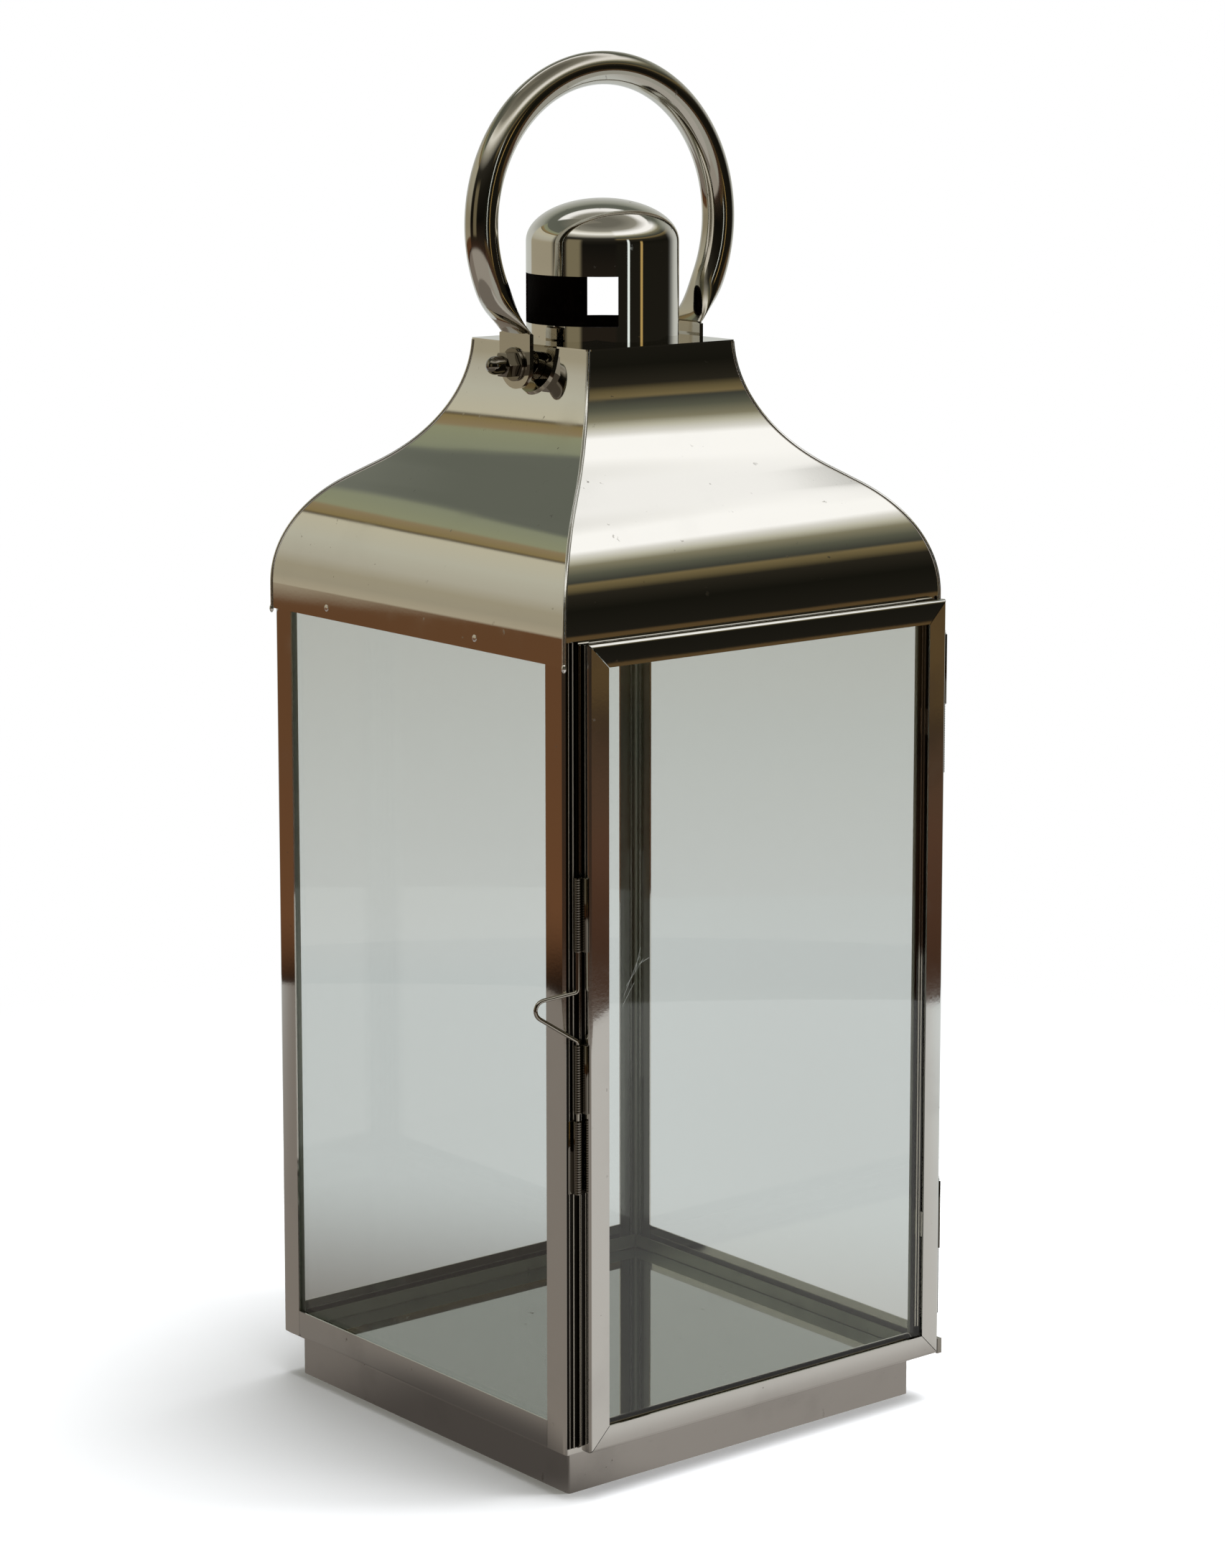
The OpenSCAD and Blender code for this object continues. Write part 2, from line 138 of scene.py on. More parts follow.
def by_height(angle, *stops):
    """A band of colours by height above the horizon, from stops of (degrees, hex colour)."""
    lowest, highest = -30, 90
    placed = [((degrees - lowest) / (highest - lowest), shade(code)) for degrees, code in stops]
    factor = (angle - lowest) * (1 / (highest - lowest))
    return angle.node("ShaderNodeValToRGB", {"stops": placed}, {0: factor})


world = bpy.data.worlds.new("studio")
bpy.context.scene.world = world
world.use_nodes = True
world.node_tree.nodes.clear()
sky = Tone(world.node_tree)
direction = sky.node("ShaderNodeTexCoord", output=0)
direction_x, direction_y, direction_z = direction.axes()
height = direction_z.math("ARCSINE", direction_z) * math.degrees(1)
bearing = direction_y.math("ARCTAN2", direction_y, direction_x) * math.degrees(1)
room_light = 1.25

cream_wall = by_height(
    height,
    (-16, "857d76"), (-15.2, "857c75"), (-14.6, "1a120c"), (-14, "1a120c"), (-13.4, "64442d"),
    (-8.4, "5c402a"), (-7.6, "a19884"), (-3, "968f7c"), (3, "98917d"), (9, "a7a394"), (18, "b0ae9f"),
    (27, "b5b09c"), (27.8, "4b4336"), (28.6, "7f704c"), (31.2, "85765a"), (32, "86896f"), (36, "80846f"),
    (36.8, "5e6158"), (50, "5b5e55"), (70, "7a776c"),
)
dark_room = by_height(
    height,
    (-16, "a8a9a4"), (-15, "a39e98"), (-14.2, "3a261a"), (-12, "50382a"), (-11, "4b3a2c"), (-10.6, "2b231c"),
    (-9.8, "53422a"), (-8, "53422a"), (-7, "1c1a15"), (8, "15140f"), (18, "26231c"), (21, "5b5138"),
    (24, "6f6244"), (25.4, "3a3b35"), (30, "555649"), (35, "7d7964"), (37.6, "b2b0a0"), (40.6, "d6d5d0"),
    (42.6, "fafafa"), (49, "fafafa"), (60, "8c8a80"), (75, "6a685f"),
)
white_sweep = by_height(
    height,
    (-30, "c2c7c8"), (-14, "d2d7d8"), (-11, "c9cdcb"), (-8, "bbbdb8"), (0, "b6b8b3"), (12, "b3b4af"),
    (30, "8d8f85"), (37, "5d6057"), (46, "5d6057"), (48, "f0f0f0"), (54, "f0f0f0"), (60, "8c8a80"),
    (75, "6a685f"),
)
near_side = by_height(
    height,
    (-16, "a39e98"), (-14, "3a2a20"), (-9, "2a231c"), (0, "12110e"), (14, "1d1b16"), (28, "2e2c26"),
    (38, "a8a69c"), (46, "f2f2ee"), (52, "cfcdc4"), (58, "8c8a80"), (75, "6a685f"),
)
from_wall = bearing.step(93, 99)
from_room = 1 - bearing.step(-14, 14)
around = white_sweep.mix(from_wall, cream_wall)
around = around.mix(bearing.step(146, 156), near_side)
around = around.mix(from_room, dark_room)
around = around.mix(1 - bearing.step(-112, -104), near_side)
gilt_post = bearing.step(-70.5, -69.5) * (1 - bearing.step(-66.5, -65.5)) * (1 - height.step(6, 14))
around = around.mix(gilt_post * height.step(-8, -6), shade("ad9159"))
bright_slit = bearing.step(-91.5, -90.5) * (1 - bearing.step(-88, -87)) * (1 - height.step(14, 24))
around = around.mix(bright_slit * height.step(-8, -6), shade("e6f0f0"))
olive_wall = bearing.step(172, 178) + (1 - bearing.step(-166, -158))
around = around.mix(olive_wall * height.step(-9, -7) * (1 - height.step(16, 24)), shade("736b55"))
surroundings = sky.node("ShaderNodeBackground", inputs={"Color": around, "Strength": room_light})
plain_white = sky.node("ShaderNodeBackground", inputs={"Color": (1, 1, 1, 1), "Strength": 1})
seen_directly = sky.node("ShaderNodeLightPath", output=0)
both = sky.node("ShaderNodeMixShader", inputs={0: seen_directly, 1: surroundings, 2: plain_white})
sky.node("ShaderNodeOutputWorld", inputs={0: both})


def new_finish(name):
    """An empty material and the first tone of its tree."""
    material = bpy.data.materials.new(name)
    material.use_nodes = True
    material.node_tree.nodes.clear()
    return material, Tone(material.node_tree)


# The table: a round pale top, matt, that fades into the white of the background. Bright metal
# sees it as a glow, painted light in place of the lit top, without the lamps: grey on the left,
# paler on the right and behind, with a painted shadow that is darkest beside the plinth.
table_radius = 0.69
table_mesh = bpy.data.meshes.new("table_top")
table_shape = bmesh.new()
bmesh.ops.create_circle(table_shape, cap_ends=True, segments=96, radius=table_radius)
table_shape.to_mesh(table_mesh)
table_shape.free()
table_top = bpy.data.objects.new("table_top", table_mesh)
bpy.context.scene.collection.objects.link(table_top)

table_finish, tone = new_finish("pale_table")
place = tone.node("ShaderNodeTexCoord", output=3)
distance = tone.node("ShaderNodeVectorMath", {"operation": "LENGTH"}, {0: place}, 1)
place_x, place_y = place.axes()[:2]
fade_start, fade_end = 0.24, 0.62
foot_edge, foot_reach = 0.1, 0.135
to_the_right = (place_x * 0.77 - place_y * 0.63).step(-0.03, 0.03)
to_the_back = (place_x * 0.8 + place_y * 0.6).step(0.0, 0.25)
lit_top = tone.node("ShaderNodeBsdfDiffuse", inputs={"Color": (0.9, 0.915, 0.95, 1)})
white_top = tone.node("ShaderNodeEmission", inputs={"Color": (1, 1, 1, 1)})
faded_top = tone.node(
    "ShaderNodeMixShader", inputs={0: distance.step(fade_start, fade_end), 1: lit_top, 2: white_top}
)
# Painted light: the colour that bright metal sees for the table, a glow in place of the lit top.
painted_table_glow = tone.paint("7a746e").mix(to_the_right, shade("b6b4b1")).mix(to_the_back, shade("ccd1d2"))
# A painted shadow on that glow, darkest beside the plinth, where the lantern shades the table.
painted_shadow_by_foot = tone.paint("4c4845").mix(place_y.step(0.02, 0.1), shade("77726d"))
painted_shadow_by_foot = painted_shadow_by_foot.mix(to_the_right, shade("95918d"))
beyond_x = place_x.math("ABSOLUTE", place_x)
beyond_y = place_y.math("ABSOLUTE", place_y)
from_the_foot = beyond_x.math("MAXIMUM", beyond_x, beyond_y).step(foot_edge, foot_reach)
painted_table_glow = painted_table_glow.mix(1 - from_the_foot, painted_shadow_by_foot)
painted_glow_in_metal = tone.node("ShaderNodeEmission", inputs={"Color": painted_table_glow, "Strength": room_light})
seen_directly = tone.node("ShaderNodeLightPath", output=0)
table_surface = tone.node(
    "ShaderNodeMixShader", inputs={0: seen_directly, 1: painted_glow_in_metal, 2: faded_top}
)
tone.node("ShaderNodeOutputMaterial", inputs={0: table_surface})
table_mesh.materials.append(table_finish)


def soft_lamp(name, place, aim, size, power):
    """A square soft lamp that lights the table and shows in no reflection."""
    data = bpy.data.lights.new(name, "AREA")
    data.shape = "SQUARE"
    data.size = size
    data.energy = power
    lamp = bpy.data.objects.new(name, data)
    lamp.location = place
    lamp.rotation_euler = (Vector(aim) - Vector(place)).to_track_quat("-Z", "Y").to_euler()
    lamp.visible_glossy = False
    lamp.visible_transmission = False
    bpy.context.scene.collection.objects.link(lamp)


soft_lamp("overhead_lamp", (0.3, -0.2, 1.9), (0, 0, 0), 1.2, 48)
soft_lamp("side_lamp", (1.3, -0.95, 0.62), (0, 0, 0.1), 0.45, 18)

# The plinth: a shallow tray folded from one steel sheet, closed by a deck. It is buffed less
# than the rest, so it mirrors the table softly, and it has dull clouds and a few stains.


def polished(name, colour, roughness, ripple=0.012, cloud=0.25, grain=0.01):
    """A buffed steel finish with ripples in the sheet, rubbing marks and dull clouds."""
    material, tone = new_finish(name)
    place = tone.node("ShaderNodeTexCoord", output=3)
    wide = tone.node("ShaderNodeTexNoise", inputs={"Vector": place, "Scale": 18, "Detail": 1})
    fine = tone.node("ShaderNodeTexNoise", inputs={"Vector": place, "Scale": 900, "Detail": 3})
    clouds = tone.node("ShaderNodeTexNoise", inputs={"Vector": place, "Scale": 38, "Detail": 6})
    dull = clouds.step(0.5, 0.8)
    pitted = tone.node("ShaderNodeTexNoise", inputs={"Vector": place, "Scale": 340, "Detail": 2})
    marks = pitted.step(0.7, 0.76) * clouds.step(0.45, 0.6)
    clean = tone.paint(colour)
    dulled = tuple(0.72 * c for c in shade(colour)[:3]) + (1,)
    surface = tone.node(
        "ShaderNodeBump", inputs={"Strength": ripple, "Distance": 0.01, "Height": wide + fine * grain}
    )
    steel = tone.node(
        "ShaderNodeBsdfPrincipled",
        inputs={
            "Base Color": clean.mix(dull * cloud, dulled).mix(marks * 0.5, shade("6b655c")),
            "Metallic": 1.0,
            "Roughness": roughness + dull * 0.08 + marks * 0.2,
            "Normal": surface,
        },
    )
    tone.node("ShaderNodeOutputMaterial", inputs={0: steel})
    return material


def finish(material, *names):
    """Gives CAD nodes a finish."""
    for name in names:
        nodes[name].data.materials.clear()
        nodes[name].data.materials.append(material)


worn_steel = polished("worn_steel", "d2cfca", 0.17, ripple=0.03, cloud=0.6, grain=0.03)
finish(worn_steel, "plinth", "plinth_deck")

# The floor plate: a bright steel sheet with round corners that lies on the deck. It is the
# best mirror of the lantern, and the candle stands on it.
floor_steel = polished("floor_steel", "c6cbcc", 0.02, ripple=0.002, cloud=0.1)
finish(floor_steel, "floor_plate")

# The bottom rails: channels folded from steel strip. The outer leg lies flush with the posts,
# and the inner lip holds the glass. The ends are tacked to the posts, and only the outer side
# of the strip is buffed: the side that looks into the lantern keeps its grey mill finish.
sheet = 0.0006
bend_steps = 5
rail_bend = 0.0007
lip_depth = 0.0047


def rounded(path, radii, steps=bend_steps):
    """A path through the given points, with each inner corner turned into an arc of its radius."""
    points = [Vector(path[0])]
    for before, corner, after, radius in zip(path, path[1:], path[2:], radii):
        corner = Vector(corner)
        back = (Vector(before) - corner).normalized()
        on = (Vector(after) - corner).normalized()
        reach = radius / math.tan(back.angle(on) / 2)
        start, stop = corner + back * reach, corner + on * reach
        centre = corner + (back + on).normalized() * radius / math.sin(back.angle(on) / 2)
        for i in range(steps + 1):
            spoke = (start - centre).normalized().slerp((stop - centre).normalized(), i / steps)
            points.append(centre + spoke * radius)
    points.append(Vector(path[-1]))
    return points


def strip(shape, path, radius, length, thickness=sheet, mitres=()):
    """Adds a strip folded along path, in the YZ plane, that runs from x = 0 to length.
    Each mitre is a point and an outward normal; what lies beyond its plane is cut off."""
    line = rounded([(0, y, z) for y, z in path], [radius] * len(path))
    near, far = [], []
    for i, point in enumerate(line):
        along = (line[min(i + 1, len(line) - 1)] - line[max(i - 1, 0)]).normalized()
        across = Vector((0, -along.z, along.y)) * thickness / 2
        near.append(shape.verts.new(point + across))
        far.append(shape.verts.new(point - across))
    end = shape.faces.new(near + far[::-1])
    made = bmesh.ops.extrude_face_region(shape, geom=[end])["geom"]
    moved = [v for v in made if isinstance(v, bmesh.types.BMVert)]
    bmesh.ops.translate(shape, verts=moved, vec=(length, 0, 0))
    verts = near + far + moved
    for point, normal in mitres:
        parts = {f for v in verts if v.is_valid for f in v.link_faces}
        edges = {e for f in parts for e in f.edges}
        whole = list({v for f in parts for v in f.verts}) + list(edges) + list(parts)
        cut = bmesh.ops.bisect_plane(
            shape, geom=whole, plane_co=point, plane_no=normal, clear_outer=True
        )["geom_cut"]
        rim = [e for e in cut if isinstance(e, bmesh.types.BMEdge)]
        bmesh.ops.holes_fill(shape, edges=rim)
        verts = [v for v in verts if v.is_valid] + [v for v in cut if isinstance(v, bmesh.types.BMVert)]
    return [v for v in verts if v.is_valid]


def piece(name, shape, body, material, replaced=(), crease=32, turned=None,
          inner=None, within=None):
    """Makes a piece from a bmesh, with its normals outwards, and lets it ride on a body.
    The faces for which within(face) is true get the inner material."""
    bmesh.ops.remove_doubles(shape, verts=shape.verts, dist=1e-6)
    bmesh.ops.recalc_face_normals(shape, faces=shape.faces)
    if within is not None:
        for face in shape.faces:
            face.material_index = 1 if within(face) else 0
    if turned is not None:
        bmesh.ops.transform(shape, matrix=turned, verts=shape.verts)
    mesh = bpy.data.meshes.new(name)
    shape.to_mesh(mesh)
    shape.free()
    mesh.shade_smooth()
    mesh.set_sharp_from_angle(angle=math.radians(crease))
    mesh.materials.append(material)
    if inner is not None:
        mesh.materials.append(inner)
    made = bpy.data.objects.new(name, mesh)
    bpy.context.scene.collection.objects.link(made)
    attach(made, body)
    if replaced:
        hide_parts(*replaced)
    return made


def quarter(turns):
    """A turn about the lantern's axis, in quarters from the front to the right, back and left."""
    return Matrix.Rotation(math.radians(90 * turns), 4, "Z")


sides = ("front", "right", "back", "left")
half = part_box("post_front_right")[1].x
post_width = 0.0101
raw_steel = polished("raw_steel", "b9c0b3", 0.5, ripple=0.03, cloud=0.5, grain=0.05)
rail_steel = polished("rail_steel", "dbd9d4", 0.08, ripple=0.02, cloud=0.5)


def rail(name, turns, low, leg_height, lip_height, flip):
    """A rail on one side; flip is -1 for a rail that hangs below its web."""
    leg_end = half - post_width
    lip_end = half - lip_depth - sheet
    leg_y, lip_y = -half + sheet / 2, -half + lip_depth
    web = flip * sheet / 2
    shape = bmesh.new()
    for path, reach in (
        ([(leg_y, flip * leg_height), (leg_y, web), (lip_y - 0.001, web)], leg_end),
        ([(leg_y + 0.001, web), (lip_y, web), (lip_y, flip * lip_height)], lip_end),
    ):
        verts = strip(shape, path, rail_bend, 2 * reach)
        bmesh.ops.translate(shape, verts=verts, vec=(-reach, 0, low))
    return piece(
        name, shape, "frame", rail_steel, turned=quarter(turns), inner=raw_steel,
        within=lambda face: face.calc_center_median().y > 0.0008 - half,
    )


bottom_leg, top_leg, rail_lip = 0.0094, 0.0075, 0.0052
for turns, side in enumerate(sides):
    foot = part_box("bottom_rail_" + side)[0].z
    made = rail("folded_bottom_rail_" + side, turns, foot, bottom_leg, rail_lip, 1)
    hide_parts("bottom_rail_" + side)

# The corner posts: each is a steel angle with a round bend, and a second fold inside it closes
# the corner to a box. The three panes stand between the boxes.
post_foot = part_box("post_front_right")[0].z
post_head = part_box("post_front_right")[1].z
post_leg, post_bend = 0.01, 0.0015
post_steel = polished("post_steel", "e3e0da", 0.04, ripple=0.012, cloud=0.2)


def inside_corner(face):
    """True for a face of the first post that looks into the lantern."""
    middle = face.calc_center_median()
    return max(middle.x - half, -half - middle.y) < -0.0004 and min(face.normal.x, -face.normal.y) < 0.1


for turns, corner in enumerate(("front_right", "back_right", "back_left", "front_left")):
    shape = bmesh.new()
    centre, wall = sheet / 2, lip_depth
    angle = [(post_leg, centre), (centre, centre), (centre, post_leg)]
    strip(shape, angle, post_bend, post_head - post_foot)
    strip(shape, [(sheet, wall), (wall, wall), (wall, sheet)], sheet, post_head - post_foot)
    upright = Matrix(((0, -1, 0, half), (0, 0, 1, -half), (1, 0, 0, post_foot), (0, 0, 0, 1)))
    bmesh.ops.transform(shape, matrix=upright, verts=shape.verts)
    piece(
        "folded_post_" + corner, shape, "frame", post_steel, ["post_" + corner], turned=quarter(turns),
        inner=raw_steel, within=inside_corner,
    )

# The top rails: the same folded channels as below, turned over. They hold the upper edges of
# the panes, and all but the front one are hidden behind the skirt of the roof.
for turns, side in enumerate(sides):
    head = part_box("top_rail_" + side)[1].z
    made = rail("folded_top_rail_" + side, turns, head, top_leg, rail_lip, -1)
    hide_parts("top_rail_" + side)

# The fixed panes: 3 mm float glass, cut to size, with the sharp edges rubbed off. Seen through
# its edge the glass is green.


def glass(name, colour):
    """Clear glass with faint smears that a hand has left."""
    material, tone = new_finish(name)
    place = tone.node("ShaderNodeTexCoord", output=3)
    smears = tone.node("ShaderNodeTexNoise", inputs={"Vector": place, "Scale": 16, "Detail": 5})
    clear = tone.node(
        "ShaderNodeBsdfPrincipled",
        inputs={
            "Base Color": shade(colour),
            "Roughness": smears.step(0.58, 0.8) * 0.035,
            "Transmission Weight": 1.0,
            "IOR": 1.5,
        },
    )
    tone.node("ShaderNodeOutputMaterial", inputs={0: clear})
    return material


clear_glass = glass("clear_glass", "f1f2f0")
glass_edge = glass("green_glass_edge", "9fb3a4")


def pane(name, node, body):
    """Cuts a pane to the size of a node, with its edges rubbed."""
    low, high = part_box(node)
    size = high - low
    thin = min(range(3), key=lambda axis: size[axis])
    shape = bmesh.new()
    bmesh.ops.create_cube(shape, size=1)
    bmesh.ops.scale(shape, vec=size, verts=shape.verts)
    bmesh.ops.translate(shape, vec=(low + high) / 2, verts=shape.verts)
    bmesh.ops.bevel(
        shape, geom=shape.edges[:], offset=0.0003, offset_type="OFFSET", affect="EDGES", segments=1,
        profile=0.5, material=-1,
    )
    made = piece(name, shape, body, clear_glass, [node], 20)
    made.data.materials.append(glass_edge)
    for face in made.data.polygons:
        face.material_index = 0 if abs(face.normal[thin]) > 0.9 else 1


for side in ("right", "back", "left"):
    pane("cut_pane_" + side, "pane_" + side, "frame")

# The roof: four panels of thin sheet, rolled outwards above a short skirt and inwards below the
# top, then joined along the hips. The front panel has no skirt, because the door is there.
eaves = 0.289
outer = half + 0.00065
convex_radius = 0.0464
concave_radius = 0.0562
roof_turn = 54.7
roof_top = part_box("roof_panel_left")[1].z
roof_top_half = 0.032
skirt_height = 0.009
over_the_door = 0.001


def polar(angle, radius):
    return Vector((radius * math.cos(math.radians(angle)), radius * math.sin(math.radians(angle))))


convex_centre = Vector((outer - convex_radius, eaves))
bend_end = convex_centre + polar(roof_turn, convex_radius)
top_offset = bend_end + polar(roof_turn, concave_radius) - Vector((roof_top_half, roof_top))
slope = polar(roof_turn + 90, 1)
straight = -top_offset.dot(slope) - math.sqrt(
    top_offset.dot(slope) ** 2 - top_offset.length_squared + concave_radius**2
)
concave_centre = bend_end + slope * straight + polar(roof_turn, concave_radius)
last_turn = math.degrees(math.asin((concave_centre.y - roof_top) / concave_radius))


def roof_profile(skirt, steps=30):
    """Points (distance from the axis, height) from the skirt's foot to the roof's top."""
    points = [Vector((outer, eaves - skirt))]
    points += [convex_centre + polar(roof_turn * i / steps, convex_radius) for i in range(steps + 1)]
    turns = [roof_turn + (last_turn - roof_turn) * i / steps for i in range(steps + 1)]
    return points + [concave_centre - polar(turn, concave_radius) for turn in turns]


spare = 0.002
roof_steel = polished("roof_steel", "e6e4de", 0.03, ripple=0.008, cloud=0.12)
for turns, side in enumerate(sides):
    profile = roof_profile(over_the_door if side == "front" else skirt_height)
    shape = bmesh.new()
    chain = [shape.verts.new((-outer - spare, -p.x, p.y)) for p in profile]
    edges = [shape.edges.new(pair) for pair in zip(chain, chain[1:])]
    made = bmesh.ops.extrude_edge_only(shape, edges=edges)["geom"]
    moved = [v for v in made if isinstance(v, bmesh.types.BMVert)]
    bmesh.ops.translate(shape, verts=moved, vec=(2 * (outer + spare), 0, 0))
    for x in (-1, 1):  # the two mitres, with a hair's breadth between the panels
        everything = shape.verts[:] + shape.edges[:] + shape.faces[:]
        bmesh.ops.bisect_plane(
            shape, geom=everything, plane_co=(0, -0.0001, 0), plane_no=(x, 1, 0), clear_outer=True
        )
    for face in shape.faces:
        face.normal_update()
        if face.normal.y > 0 or (abs(face.normal.y) < 1e-3 and face.normal.z < 0):
            face.normal_flip()
    bmesh.ops.solidify(shape, geom=shape.faces[:], thickness=sheet)
    piece(
        "rolled_roof_" + side, shape, "frame", roof_steel, ["roof_panel_" + side], turned=quarter(turns)
    )

# The hips: the mitred edges of the four panels are closed with solder, which is filed to a thin
# bright bead from the foot of the skirt to the top plate.
bead_radius = 0.0007


def rod(shape, points, radius, sides=10):
    """Adds a round bar along a line of points. radius(i) is its radius at point i."""
    ring = bmesh.ops.create_circle(shape, cap_ends=True, segments=sides, radius=radius(0))["verts"]
    edges = list({e for v in ring for e in v.link_edges})
    before = Vector((0, 0, 1))
    here = Vector((0, 0, 0))
    size = 1
    for i, point in enumerate(points):
        along = (points[min(i + 1, len(points) - 1)] - points[max(i - 1, 0)]).normalized()
        if i > 0:
            made = bmesh.ops.extrude_edge_only(shape, edges=edges)["geom"]
            ring = [v for v in made if isinstance(v, bmesh.types.BMVert)]
            edges = [e for e in made if isinstance(e, bmesh.types.BMEdge)]
            size = radius(i) / radius(i - 1)
        turn = before.rotation_difference(along).to_matrix().to_4x4()
        place = Matrix.Translation(point) @ turn @ Matrix.Scale(size, 4) @ Matrix.Translation(-here)
        bmesh.ops.transform(shape, matrix=place, verts=ring)
        before, here = along, point
    bmesh.ops.holes_fill(shape, edges=edges)


bead_steel = polished("solder_bead", "f2f0ec", 0.14, ripple=0.08, cloud=0.1, grain=0.04)
bead_depth = 0.0002
for turns, side in enumerate(sides):
    shape = bmesh.new()
    line = [Vector((p.x - bead_depth, bead_depth - p.x, p.y)) for p in roof_profile(skirt_height)]
    rod(shape, line, lambda i: bead_radius)
    piece("hip_bead_" + side, shape, "frame", bead_steel, crease=60, turned=quarter(turns))

# The spot welds: small dimples where the skirt is welded to the top rails behind it, and a drop
# of solder at the foot of each hip.
weld_radius, weld_height = 0.0012, eaves - 0.0052
drop_radius, drop_height = 0.0009, eaves - 0.0092
for turns, side in enumerate(sides):
    shape = bmesh.new()
    if side != "front":
        for along in (-0.6, 0.43):
            weld = Matrix.Translation((along * half, -outer, weld_height))
            weld = weld @ Matrix.Diagonal((1, 0.12, 1, 1))
            bmesh.ops.create_uvsphere(
                shape, u_segments=20, v_segments=12, radius=weld_radius, matrix=weld
            )
    drop = Matrix.Translation((outer, -outer, drop_height)) @ Matrix.Diagonal((0.9, 0.9, 1.7, 1))
    bmesh.ops.create_uvsphere(shape, u_segments=16, v_segments=10, radius=drop_radius, matrix=drop)
    piece("welds_" + side, shape, "frame", bead_steel, crease=60, turned=quarter(turns))

# The top plate: a flat square of the roof's sheet with the vent in it, soldered on over the
# ends of the four panels. The chimney cap stands on it.
finish(roof_steel, "top_plate")

# The chimney cap: one cup drawn from sheet, with a domed end and two windows cut on the left
# and the right, between two pillars. It stands open end down on the top plate, turned a little,
# and its inner side is painted near black: a painted shade for the dark inside of the cup.
cap_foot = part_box("chimney_cap")[0].z
cap_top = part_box("chimney_cap")[1].z
cap_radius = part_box("chimney_cap")[1].x
dome_height = 0.0147
window_low, window_high = cap_foot + 0.006, cap_foot + 0.023
pillar_half_angle = 40
cap_turn = 13
shape = bmesh.new()
heights = [cap_foot, window_low, window_high, cap_top - dome_height]
profile = [Vector((cap_radius, 0, z)) for z in heights]
dome_steps = 24
for i in range(1, dome_steps):
    lift = math.radians(90 * i / dome_steps)
    profile.append(
        Vector((cap_radius * math.cos(lift), 0, cap_top - dome_height + dome_height * math.sin(lift)))
    )
profile.append(Vector((0, 0, cap_top)))
chain = [shape.verts.new(p) for p in profile]
edges = [shape.edges.new(pair) for pair in zip(chain, chain[1:])]
first = math.radians(90 + cap_turn - pillar_half_angle)
arcs = ((2 * pillar_half_angle, 24), (180 - 2 * pillar_half_angle, 48)) * 2
bmesh.ops.rotate(shape, verts=shape.verts, cent=(0, 0, 0), matrix=Matrix.Rotation(first, 3, "Z"))
geometry = chain + edges
for angle, steps in arcs:
    made = bmesh.ops.spin(
        shape, geom=geometry, cent=(0, 0, 0), axis=(0, 0, 1), angle=math.radians(angle), steps=steps
    )
    geometry = made["geom_last"]
bmesh.ops.remove_doubles(shape, verts=shape.verts, dist=1e-6)
window_faces = []
for face in shape.faces:
    middle = face.calc_center_median()
    turned_by = (math.degrees(math.atan2(middle.y, middle.x)) - cap_turn + 90) % 180 - 90
    if window_low < middle.z < window_high and abs(turned_by) < 90 - pillar_half_angle:
        window_faces.append(face)
bmesh.ops.delete(shape, geom=window_faces, context="FACES")
bmesh.ops.recalc_face_normals(shape, faces=shape.faces)
bmesh.ops.solidify(shape, geom=shape.faces[:], thickness=sheet)
wall_inside = cap_radius - sheet / 2


def in_the_cup(point):
    """True for a point on the cap's inner side, which is painted near black as shade."""
    rise = max(0, point.z - cap_top + dome_height) / (dome_height - sheet / 2)
    return (point.x**2 + point.y**2) / wall_inside**2 + rise**2 < 1


cap_steel = polished("cap_steel", "e2dfd8", 0.025, ripple=0.003, cloud=0.1)
# Near black inside the cup: painted shade for the dark seen through the windows.
painted_shade_steel = polished("painted_shade_steel", "2b2320", 0.5, ripple=0.02, cloud=0.5, grain=0.05)
piece(
    "drawn_chimney_cap", shape, "frame", cap_steel, ["chimney_cap"], inner=painted_shade_steel,
    within=lambda face: in_the_cup(face.calc_center_median()),
)

# The door: four channels of folded sheet, mitred at the corners, tacked there and left a little
# open. The glass lies in the channels.
door_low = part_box("door_rail_bottom")[0]
door_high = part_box("door_rail_top")[1]
door_steel = polished("door_steel", "e2e0db", 0.045, ripple=0.02, cloud=0.3)
face_width, flange_width, door_bend, mitre_gap = 0.0079, 0.0063, 0.0009, 0.00016
front_y, back_y = door_low.y + sheet / 2, door_high.y - sheet / 2
channel = [(front_y, face_width), (front_y, sheet / 2), (back_y, sheet / 2), (back_y, flange_width)]
across, upwards = door_high.x - door_low.x, door_high.z - door_low.z
down_left, down_right = (door_low.x, 0, door_low.z), (door_high.x, 0, door_low.z)
up_left, up_right = (door_low.x, 0, door_high.z), (door_high.x, 0, door_high.z)
for name, node, length, turn, start in (
    ("bottom", "door_rail_bottom", across, 0, down_left),
    ("hinge_stile", "door_stile_right", upwards, -90, down_right),
    ("top", "door_rail_top", across, 180, up_right),
    ("latch_stile", "door_stile_left", upwards, 90, up_left),
):
    shape = bmesh.new()
    mitres = [((mitre_gap, 0, 0), (-1, 0, 1)), ((length - mitre_gap, 0, 0), (1, 0, 1))]
    strip(shape, channel, door_bend, length, mitres=mitres)
    set_up = Matrix.Translation(start) @ Matrix.Rotation(math.radians(turn), 4, "Y")
    piece("door_" + name, shape, "door", door_steel, [node], turned=set_up)

